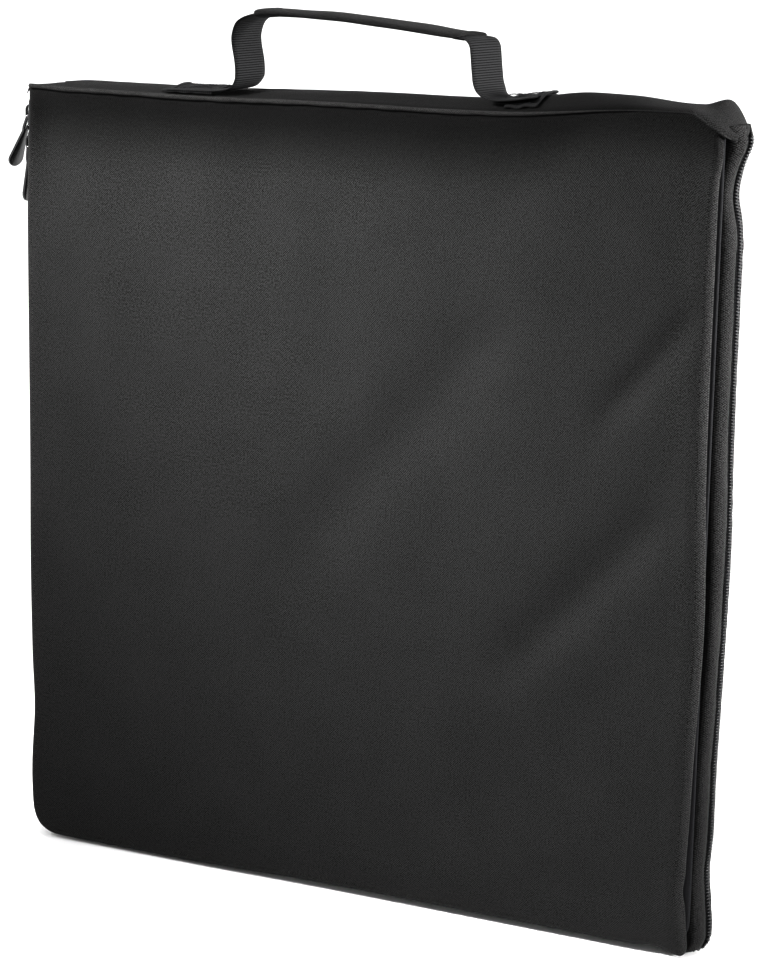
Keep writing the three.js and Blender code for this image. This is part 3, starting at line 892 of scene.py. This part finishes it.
def zipped_side(prefix, side, body):
    """One half's gusset, zip tape, coil and seam binding."""
    seed = 46 + 5 * side
    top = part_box(f"{prefix}_gusset_right")[1].z
    # painted shade on the gusset where it lies back in the groove beside the panel
    painted_groove_shade = [1.2 * (1 - ease(bulge, 0, 4)) for bulge, _ in GUSSET_RING]
    gusset = zipped_loft(
        f"{prefix}_gusset_cloth", GUSSET_RING, side, top, 2.5 * MM, 0.22 * MM, seed, painted_groove_shade,
    )
    parts = [f"{prefix}_gusset_{part}" for part in GUSSET_PARTS]
    place(gusset, body, shell_nylon, "shell_nylon", *parts)

    tape = zipped_loft(f"{prefix}_tape", TAPE_RING, side, ZIP_TOP, 3 * MM, 0.05 * MM, seed + 2)
    place(tape, body, tape_cloth, "zip_tape", f"{prefix}_zip_tape")
    coil(prefix, side, 0 if side > 0 else 0.5, body)

    node = f"{prefix}_seam_binding"
    binding = zipped_loft(
        f"{prefix}_binding_tape", BINDING_RING, side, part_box(node)[1].z, 4 * MM, 0.25 * MM, seed + 4,
    )
    place(binding, body, lining_cloth, "lining_cloth", node)


for half in HALVES:
    zipped_side(*half)


# --- top panel ------------------------------------------------------------------------------

EAR_X = 0.2545  # where the top panel is pushed up by the seams at its right end


def top_height(x, t):
    """Height of the top panel, x along the bag and t from -1 at the front to 1 at the rear."""
    share = ease(t, -1, 0.3)
    edge = seam_rise(x) * (1 - share) + rear_rise(x) * share
    crown = top_crown(x) * 0.55 * np.sqrt(np.clip(1 - t * t, 0, 1))
    near = np.clip(1 - np.abs(x - EAR_X) / 0.015, 0, 1)
    ear = 5.6 * MM * near * bump(t, 0.35, 0.7)
    stray = 0.35 * MM * wander(61, 0.06)(x, t * HALF_DEPTH) * (1 - t * t)
    return HEIGHT - 0.6 * MM + edge + crown + ear + stray - 1.4 * MM * bump(t, -1, 0.1)


def top_at(x, t=0.0):
    """The top panel's height at one place."""
    return float(top_height(np.array(x), np.array(t)))


TOP_HALF_DEPTH = HALF_DEPTH - 0.4 * MM


def top_panel():
    """The padded top panel, its ends tucked down."""
    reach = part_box("top_panel")[1].x - CENTRE_X
    xs = np.linspace(-reach, reach, 178)
    ts = np.sin(np.radians(np.linspace(-90, 90, 21)))
    x, t = np.meshgrid(xs, ts)
    z = top_height(x, t)
    end = ease(np.abs(x), reach - 8 * MM, reach)
    y = t * TOP_HALF_DEPTH * (1 - 0.35 * end)
    sloped = np.clip((x - reach) / (12 * MM) + 1, 0, 1)
    z = z - 7 * MM * sloped - 5 * MM * end * (x < 0)
    # painted shade: the top panel is darkened against the light from above, less towards its right end
    painted_shade = 1.25 - 0.7 * ease(x, 0.19, 0.245)
    panel = build(
        "top_panel_skin", stacked(x + CENTRE_X, y, z), strip_faces(*x.shape),
        stacked(x, y, np.zeros_like(x)), painted_shade,
    )
    modifier(panel, "SOLIDIFY", thickness=NYLON, offset=0)
    modifier(panel, "SUBSURF", levels=1, render_levels=1)
    apply_modifiers(panel)
    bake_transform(panel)
    place(panel, None, shell_nylon, "shell_nylon", "top_panel")


def seam_ridge(name, side, height, body):
    """The raised line where a panel and the top panel are sewn, with the seam's bulk inside."""
    xs = np.arange(-HALF_WIDTH + 3 * MM, HALF_WIDTH - 12 * MM, 2.5 * MM)
    angles = np.radians(np.arange(0, 360, 36))
    fade = (1 - ease(xs, 0.09, 0.2)) if side < 0 else np.ones_like(xs)
    radius = MM * (0.4 + 1.5 * fade) * (1 + 0.08 * wander(71, 0.02)(xs, xs * 0))
    sections = []
    for x, r in zip(xs, radius):
        y = side * (HALF_DEPTH + 0.8 * MM)
        z = HEIGHT + 0.2 * MM - 0.4 * r + height(np.array(x))
        ring = [(x + CENTRE_X, y + r * math.cos(a), z + 0.85 * r * math.sin(a)) for a in angles]
        sections.append(ring)
    ridge = loft(name, sections)
    place(ridge, body, shell_nylon, "shell_nylon")


top_panel()
seam_ridge("front_top_seam", -1, seam_rise, "front_cover")
seam_ridge("rear_top_seam", 1, rear_rise, "rear_shell")


def top_foam():
    """The foam strip under the top panel, its cut edges rounded."""
    low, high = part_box("top_padding")
    centre, half = (low + high) / 2, (high - low) / 2
    sections = []
    for x in np.linspace(-1, 1, 60):
        drawn = 1 - 0.12 * ease(abs(x), 0.985, 1)
        ring = []
        for angle in np.radians(np.arange(0, 360, 20)):
            y, z = rounded(angle, half.y * drawn, half.z * drawn, 0.35, 0.5)
            ring.append((centre.x + x * half.x, centre.y + y, centre.z + z))
        sections.append(ring)
    place(loft("top_foam", sections), "rear_shell", foam, "padding_foam", "top_padding")


top_foam()


def top_lining():
    """The lining under the top panel's foam."""
    low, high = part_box("top_lining")
    x, y = np.meshgrid(np.linspace(low.x, high.x, 90), np.linspace(low.y, high.y, 12))
    z = low.z + 0.3 * MM + 0.25 * MM * wander(81, 0.03)(x, y)
    points = stacked(x, y, z)
    lining_sheet("top_lining", "rear_shell", points, x.shape, points)


top_lining()


def end_tab(side):
    """A folded scrap of nylon sewn over an end of the zip."""
    low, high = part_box(f"zip_end_tab_{side}")
    centre, half = (low + high) / 2, (high - low) / 2
    sections = []
    for down in np.linspace(1, -1, 9):
        swell = 1 - 0.25 * down ** 4
        ring = []
        for angle in np.radians(np.arange(0, 360, 24)):
            x, y = rounded(angle, half.x * swell, half.y * swell, 0.5, 0.5)
            ring.append((centre.x + x, centre.y + y, centre.z + down * half.z))
        sections.append(ring)
    tab = loft(f"{side}_end_tab_cloth", sections)
    place(tab, "rear_shell", shell_nylon, "shell_nylon", f"zip_end_tab_{side}")


end_tab("left")
end_tab("right")


# --- handle ---------------------------------------------------------------------------------

WEBBING_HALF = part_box("handle_webbing")[1].y
WEBBING_THICK = 1.5 * MM
GRIP_ABOVE = HEIGHT + 0.03  # the whole grip is higher than this


def on_top(x, lift=0.0):
    """A point of the handle's route on the top panel, `lift` above it."""
    return (x, top_at(x) + WEBBING_THICK * 0.6 + lift)


HANDLE_ROUTE = [  # x and z, from the left foot to the right one
    on_top(-0.148), on_top(-0.130), on_top(-0.112, 0.2 * MM), on_top(-0.0985, 2.4 * MM),
    (-0.0935, 0.5700), (-0.0923, 0.5747), (-0.0929, 0.5836), (-0.0951, 0.5951), (-0.0950, 0.6025),
    (-0.0915, 0.6105), (-0.0830, 0.6152), (-0.0730, 0.6168), (-0.0536, 0.6165), (-0.0230, 0.6154),
    (0.0071, 0.6131), (0.0369, 0.6103), (0.0589, 0.6078), (0.0756, 0.6064), (0.0818, 0.6048),
    (0.0848, 0.6010), (0.0857, 0.5960), (0.0863, 0.5900), (0.0871, 0.5830), (0.0884, 0.5755),
    on_top(0.0925, 2.6 * MM), on_top(0.101, 0.3 * MM), on_top(0.115), on_top(0.128, 0.4 * MM),
]


def twist(x, z):
    """How far the webbing's rear edge is turned to the right, for each metre of its width."""
    return (0.06 + 0.08 * ease(x, -0.05, 0.06)) * ease(z, HEIGHT + 4 * MM, HEIGHT + 14 * MM)


def strap_frames(spacing):
    """Places in x and z along the handle's middle line, and the directions off its face."""
    route = through(HANDLE_ROUTE, spacing)
    along = directions(route)
    off = np.stack([-along[:, 1], along[:, 0]], axis=1)
    return route, off


def strap_point(place_on, off, y, lift):
    """A point beside a place on the handle's middle line, y across it and `lift` off its face."""
    x, z = place_on
    return (x + CENTRE_X + y * twist(x, z) + off[0] * lift, y, z + off[1] * lift)


def handle_strap():
    """The ribbed webbing, narrowed and cupped where the sleeve grips it."""
    route, off = strap_frames(1.6 * MM)
    sections = []
    for (x, z), away in zip(route, off):
        inside = 1 - ease(abs(x + 0.002), 0.066, 0.084) if z > GRIP_ABOVE else 0
        half = WEBBING_HALF * (1 - 0.3 * inside)
        cup = 1.2 * MM * inside + 0.35 * MM
        ring = []
        for face in (1, -1):
            for share in np.linspace(-1, 1, 9) * face:
                y = half * share
                lift = face * WEBBING_THICK / 2 * (1 - 0.6 * abs(share) ** 8) - cup * share ** 2
                ring.append(strap_point((x, z), away, y, lift))
        sections.append(ring)
    strap = loft("handle_strap", sections)
    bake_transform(strap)
    place(strap, None, webbing, "webbing", "handle_webbing")


def grip_sleeve():
    """Nylon folded round the webbing, with a thicker hem at both ends."""
    route, off = strap_frames(1.2 * MM)
    start, end = -0.0795, 0.0755
    gripped = (route[:, 0] > start) & (route[:, 0] < end) & (route[:, 1] > GRIP_ABOVE)
    route, off = route[gripped], off[gripped]
    s = arc_lengths(route)
    rough = wander(91, 0.03)
    sections = []
    for (x, z), away, at in zip(route, off, s):
        to_end = min(at, s[-1] - at)
        hem = 0.45 * MM * (1 - ease(to_end, 5.0 * MM, 5.8 * MM))
        right_end = ease(x, 0.045, end)
        half_width = (15.8 + 1.6 * right_end + 0.8 * ease(-x, 0.04, 0.074)) * MM + hem
        half_height = 2.7 * MM + hem - 0.5 * MM * right_end
        ring = []
        for angle in np.radians(np.arange(0, 360, 15)):
            y, lift = rounded(angle, half_width, half_height, 0.75, 0.8)
            lift += 0.18 * MM * float(rough(np.array(at), np.array(angle * 0.01)))
            ring.append(strap_point((x, z), away, y, lift))
        sections.append(ring)
    # painted shade: the whole sleeve is darkened against the light from above
    sleeve = loft("grip_sleeve", sections, painted_shade=[0.7] * len(sections[0]))
    place(sleeve, "handle", shell_nylon, "shell_nylon", "handle_grip_sleeve")


handle_strap()
grip_sleeve()


STITCH_LENGTH = 2.6 * MM
THREAD_RADIUS = 0.26 * MM


def stitch(start, end):
    """One stitch: thread that comes up, lies on the cloth and goes down again."""
    rise = np.array([0, 0, 0.35 * MM])
    middle = start * 0.6 + end * 0.4 + rise
    path = through([start - rise, start + rise * 0.5, middle, end + rise * 0.3, end - rise], 0.5 * MM)
    along = directions(path)
    aside = np.cross(along, (0, 0, 1.0))
    aside /= np.maximum(np.linalg.norm(aside, axis=1), 1e-6)[:, None]
    across = np.cross(aside, along)
    angles = np.radians(np.arange(0, 360, 60))
    sections = [
        [p + THREAD_RADIUS * (math.cos(a) * u + math.sin(a) * v) for a in angles]
        for p, u, v in zip(path, aside, across)
    ]
    return loft("part", sections)


def stitch_line(name, line, body):
    """A row of stitches along a line of points, as one piece."""
    line = through(line, STITCH_LENGTH)
    sewn = [
        stitch(start * 0.93 + end * 0.07, start * 0.13 + end * 0.87)
        for start, end in zip(line, line[1:])
    ]
    place(merged(name, sewn), body, thread, "webbing")


def foot(name, side, tip, root):
    """The webbing's cut end, folded back on itself and sewn down hard through the top panel."""
    half = WEBBING_HALF - 0.6 * MM
    pinch = wander(95 + side, 0.011)
    sections = []
    for x in np.linspace(root, tip, 40):
        reach = abs(x - root) / abs(tip - root)
        ring = []
        for face in (1, -1):
            for share in np.linspace(-1, 1, 11) * face:
                dent = 0.45 * MM * float(pinch(np.array(x), np.array(share * 0.012)))
                edge = 1.6 * MM * ease(reach, 0.86, 1.0) * (share > 0.2) * share
                z = top_at(x, share * half / TOP_HALF_DEPTH) + 2.1 * MM + dent + edge
                ring.append((x + CENTRE_X, share * half, z + face * 0.65 * MM))
        sections.append(ring)
    piece = loft(f"handle_foot_fold_{name}", sections)
    place(piece, "rear_shell", webbing, "webbing", f"handle_foot_{name}")


def foot_stitches(name, side, tip, root):
    """The square and the cross that a foot is sewn down with."""
    inner, outer, wide = root - side * 5 * MM, tip - side * 6 * MM, WEBBING_HALF - 3.5 * MM
    corners = [(outer, -wide), (inner, -wide), (inner, wide), (outer, wide)]
    around = zip(corners, corners[1:] + corners[:1])
    square = np.concatenate([np.linspace(a, b, 10)[:-1] for a, b in around])
    cross = [through([corners[k], corners[k + 2]], 2.2 * MM) for k in (0, 1)]
    for number, line in enumerate([square, *cross]):
        sewn = [(x + CENTRE_X, y, top_at(x, y / TOP_HALF_DEPTH) + 2.9 * MM) for x, y in line]
        stitch_line(f"foot_stitches_{name}_{number}", sewn, "rear_shell")


for where in (("left", -1, -0.1515, -0.112), ("right", 1, 0.1305, 0.107)):
    foot(*where)
    foot_stitches(*where)


# --- sliders and pulls ----------------------------------------------------------------------

LEFT_EDGE = CENTRE_X - HALF_WIDTH
upper_low, upper_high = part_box("upper_slider")
SLIDER_HALF_LENGTH = (upper_high.z - upper_low.z) / 2
SLIDER_HALF_WIDTH = upper_high.y
pull_low, pull_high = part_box("lower_pull")
PULL_TOP = 1.1 * MM  # how far a pull reaches above its pivot
PIVOT_X = (pull_low.x + pull_high.x) / 2
PULL_LENGTH = pull_high.z - PULL_TOP - pull_low.z
PULL_HALF_WIDTH = pull_high.y
PULL_THICK = pull_high.x - pull_low.x


def plate(name, outline, x0, x1, bevel):
    """A flat shape, given by (y, z) points, between two places in x, with its edges rounded."""
    points = [(x, y, z) for x in (x0, x1) for y, z in outline]
    count = len(outline)
    faces = [tuple(range(count)), tuple(range(count, 2 * count))[::-1]]
    faces += [(k, k + count, (k + 1) % count + count, (k + 1) % count) for k in range(count)]
    piece = build(name, points, faces)
    modifier(piece, "BEVEL", width=bevel, segments=3, limit_method="ANGLE", angle_limit=0.6)
    return apply_modifiers(piece)


def slider(prefix, nose):
    """A slider body: a shield-shaped top plate with turned-in sides, a back plate, the web
    between them and the crown. nose is 1 where its wide end is up, -1 where it is down.
    Gives the height of its middle."""
    low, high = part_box(f"{prefix}_slider")
    z = (low.z + high.z) / 2
    wide, narrow, end = SLIDER_HALF_WIDTH, SLIDER_HALF_WIDTH - 1.5 * MM, SLIDER_HALF_LENGTH

    def layer(outline, outer, inner, bevel):
        """A plate between two distances out from the bag's left edge, in millimetres."""
        return plate("part", outline, LEFT_EDGE - outer * MM, LEFT_EDGE - inner * MM, bevel * MM)

    half = [
        (2.2 * MM, end), (4.6 * MM, end - 0.6 * MM), (wide, end - 2.6 * MM), (wide, end - 7 * MM),
        (narrow, -end + 7 * MM), (narrow, -end + 1.5 * MM), (narrow - 1.2 * MM, -end),
    ]
    shield = half + [(-y, at) for y, at in reversed(half)]
    shield = [(y, z + nose * at) for y, at in shield]
    top = layer(shield, 11.2, 9.0, 0.7)
    back = layer(shield, 3.9, 2.8, 0.3)
    across, low_end, high_end = 0.35 * MM, z - 7 * MM, z + 7 * MM
    middle = [(-across, low_end), (across, low_end), (across, high_end), (-across, high_end)]
    web = layer(middle, 9.6, 3.4, 0.1)
    lips = []
    for side in (-1, 1):
        edge = [(side * y, at) for y, at in half[2:6]]
        inner = [(side * (y - 1.0 * MM), at) for y, at in reversed(half[2:6])]
        lip = [(y, z + nose * at) for y, at in edge + inner]
        lips.append(layer(lip, 9.6, 7.7, 0.25))
    rise = [(10.6, -5.0), (12.4, -5.1), (14.2, -4.7), (15.2, -3.4), (15.5, -1.6), (15.5, 0)]
    arch = np.array(rise + [(out, -up) for out, up in rise[-2::-1]]) * MM
    arch = through(arch, 0.5 * MM)
    sections = []
    for (out, up), (go_out, go_up) in zip(arch, directions(arch)):
        ring = []
        for angle in np.radians(np.arange(22.5, 382.5, 45)):
            y = 1.65 * MM * math.cos(angle)
            side = 0.85 * MM * math.sin(angle)
            ring.append((LEFT_EDGE - out + side * go_up, y, z + up + side * go_out))
        sections.append(ring)
    crown = loft("part", sections)
    body = merged(f"{prefix}_slider_body", [top, back, web, *lips, crown])
    node = f"{prefix}_slider"
    place(body, node, slider_metal, "slider_metal", node)
    return z


def pull_tab(prefix, pivot_z, swing, turned):
    """A flat enamelled tab with a window for the crown, twisted towards its tip. `swing` and
    `turned` are the degrees that it hangs out from the bag and that its tip is twisted by."""
    ring, waist, tip, drop = 4.2 * MM, 2.9 * MM, PULL_HALF_WIDTH, PULL_LENGTH
    half = [(ring - MM, PULL_TOP), (ring, PULL_TOP - MM), (ring, -8.6 * MM), (waist, -12 * MM)]
    for angle in np.radians(np.arange(0, 91, 15)):
        half.append((tip * math.cos(angle), -drop + tip - tip * math.sin(angle)))
    outline = half + [(-y, z) for y, z in reversed(half[:-1])]
    window = 2.2 * MM
    holes = [(window, -1.1 * MM), (window, -8.1 * MM), (-window, -8.1 * MM), (-window, -1.1 * MM)]
    tab = plate(f"{prefix}_pull_tab", outline, -PULL_THICK / 2, PULL_THICK / 2, 0.45 * MM)
    cutter = plate("cutter", holes, -2 * PULL_THICK, 2 * PULL_THICK, 0.3 * MM)
    modifier(tab, "BOOLEAN", operation="DIFFERENCE", object=cutter, solver="EXACT")
    apply_modifiers(tab)
    bpy.data.objects.remove(cutter)
    for vertex in tab.data.vertices:
        turn = math.radians(turned) * float(ease(-vertex.co.z, 10 * MM, drop)) ** 0.5
        x, y = vertex.co.x, vertex.co.y
        vertex.co.x = x * math.cos(turn) - y * math.sin(turn)
        vertex.co.y = x * math.sin(turn) + y * math.cos(turn)
    tab.location = (PIVOT_X, 0, pivot_z)
    tab.rotation_euler = (0, math.radians(swing), 0)
    bpy.context.view_layer.update()
    tab.data.transform(tab.matrix_world)
    tab.location, tab.rotation_euler = (0, 0, 0), (0, 0, 0)
    node = f"{prefix}_pull"
    place(tab, node, slider_metal, "slider_metal", node)


upper_z = slider("upper", -1)
lower_z = slider("lower", 1)
lower_pivot = pull_high.z - PULL_TOP
pull_tab("lower", lower_pivot, 5, 6)
pull_tab("upper", lower_pivot + upper_z - lower_z, 22, -16)


# --- stage ----------------------------------------------------------------------------------

FLOOR = -4.5 * MM  # where the soft lower edges come to rest
FLOOR_HALF = 12.0  # metres
LIGHTS = (
    # power in watts, size, spread, azimuth and height of the light in degrees, its distance, its aim
    ("key_left", 6.3, (0.6, 0.12), 30, -34, 34, 1.6, (0.0, 0, 0.41)),
    ("strip_right", 9.5, (0.12, 0.4), 32, 104, 8, 1.8, (HALF_WIDTH, 0, 0.43)),
)


def towards(azimuth, height):
    """The direction from the bag to something in front of it, azimuth and height in degrees."""
    a, e = math.radians(azimuth), math.radians(height)
    return Vector((math.sin(a) * math.cos(e), -math.cos(a) * math.cos(e), math.sin(e)))


def set_floor():
    """A pale paper floor."""
    corners = ((-1, -1), (1, -1), (1, 1), (-1, 1))
    points = [(x * FLOOR_HALF, y * FLOOR_HALF, FLOOR) for x, y in corners]
    floor = build("floor", points, [(0, 1, 2, 3)])
    nodes = Nodes("floor_paper")
    vector, _ = nodes.weave_place()
    grain = nodes.noise(vector, 40, detail=3.0)
    paper = nodes.surface(nodes.tinted((0.97, 0.97, 0.97), grain, 0.99, 1.01), 0.85)
    floor.data.materials.append(paper)


def set_lights():
    """A white room, a soft light overhead, and a light on each side of the front."""
    world = bpy.data.worlds.new("studio")
    world.use_nodes = True
    background = world.node_tree.nodes["Background"]
    background.inputs["Color"].default_value = (1, 1, 1, 1)
    background.inputs["Strength"].default_value = 1.3
    bpy.context.scene.world = world

    for name, power, size, spread, azimuth, height, distance, aim in LIGHTS:
        light = bpy.data.lights.new(name, "AREA")
        light.energy = power
        light.shape = "RECTANGLE"
        light.size, light.size_y = size
        light.spread = math.radians(spread)
        lamp = bpy.data.objects.new(name, light)
        back = towards(azimuth, height)
        lamp.location = Vector(aim) + back * distance
        lamp.rotation_mode = "QUATERNION"
        lamp.rotation_quaternion = back.to_track_quat("Z", "Y")
        bpy.context.scene.collection.objects.link(lamp)
    overhead = bpy.data.lights.new("overhead", "SUN")
    overhead.energy = 0.7
    overhead.angle = math.radians(80)
    bpy.context.scene.collection.objects.link(bpy.data.objects.new("overhead", overhead))
    view = bpy.context.scene.view_settings
    view.view_transform = "Standard"
    view.gamma = 0.75


def set_camera():
    """A long lens from the right and a little above, tilted a degree."""
    azimuth, height, tilt, distance = 25.58, 12.6, 1.05, 1.8263
    aim = Vector((CENTRE_X + 0.0156, 0, 0.2986))
    data = bpy.data.cameras.new("camera")
    data.lens = 98.26
    data.sensor_width = 36
    data.clip_start, data.clip_end = 0.05, 60
    camera = bpy.data.objects.new("camera", data)
    back = towards(azimuth, height)
    camera.location = aim + back * distance
    camera.rotation_mode = "QUATERNION"
    level = back.to_track_quat("Z", "Y")
    camera.rotation_quaternion = level @ Quaternion((0, 0, 1), math.radians(tilt))
    bpy.context.scene.collection.objects.link(camera)
    bpy.context.scene.camera = camera


set_floor()
set_lights()
set_camera()
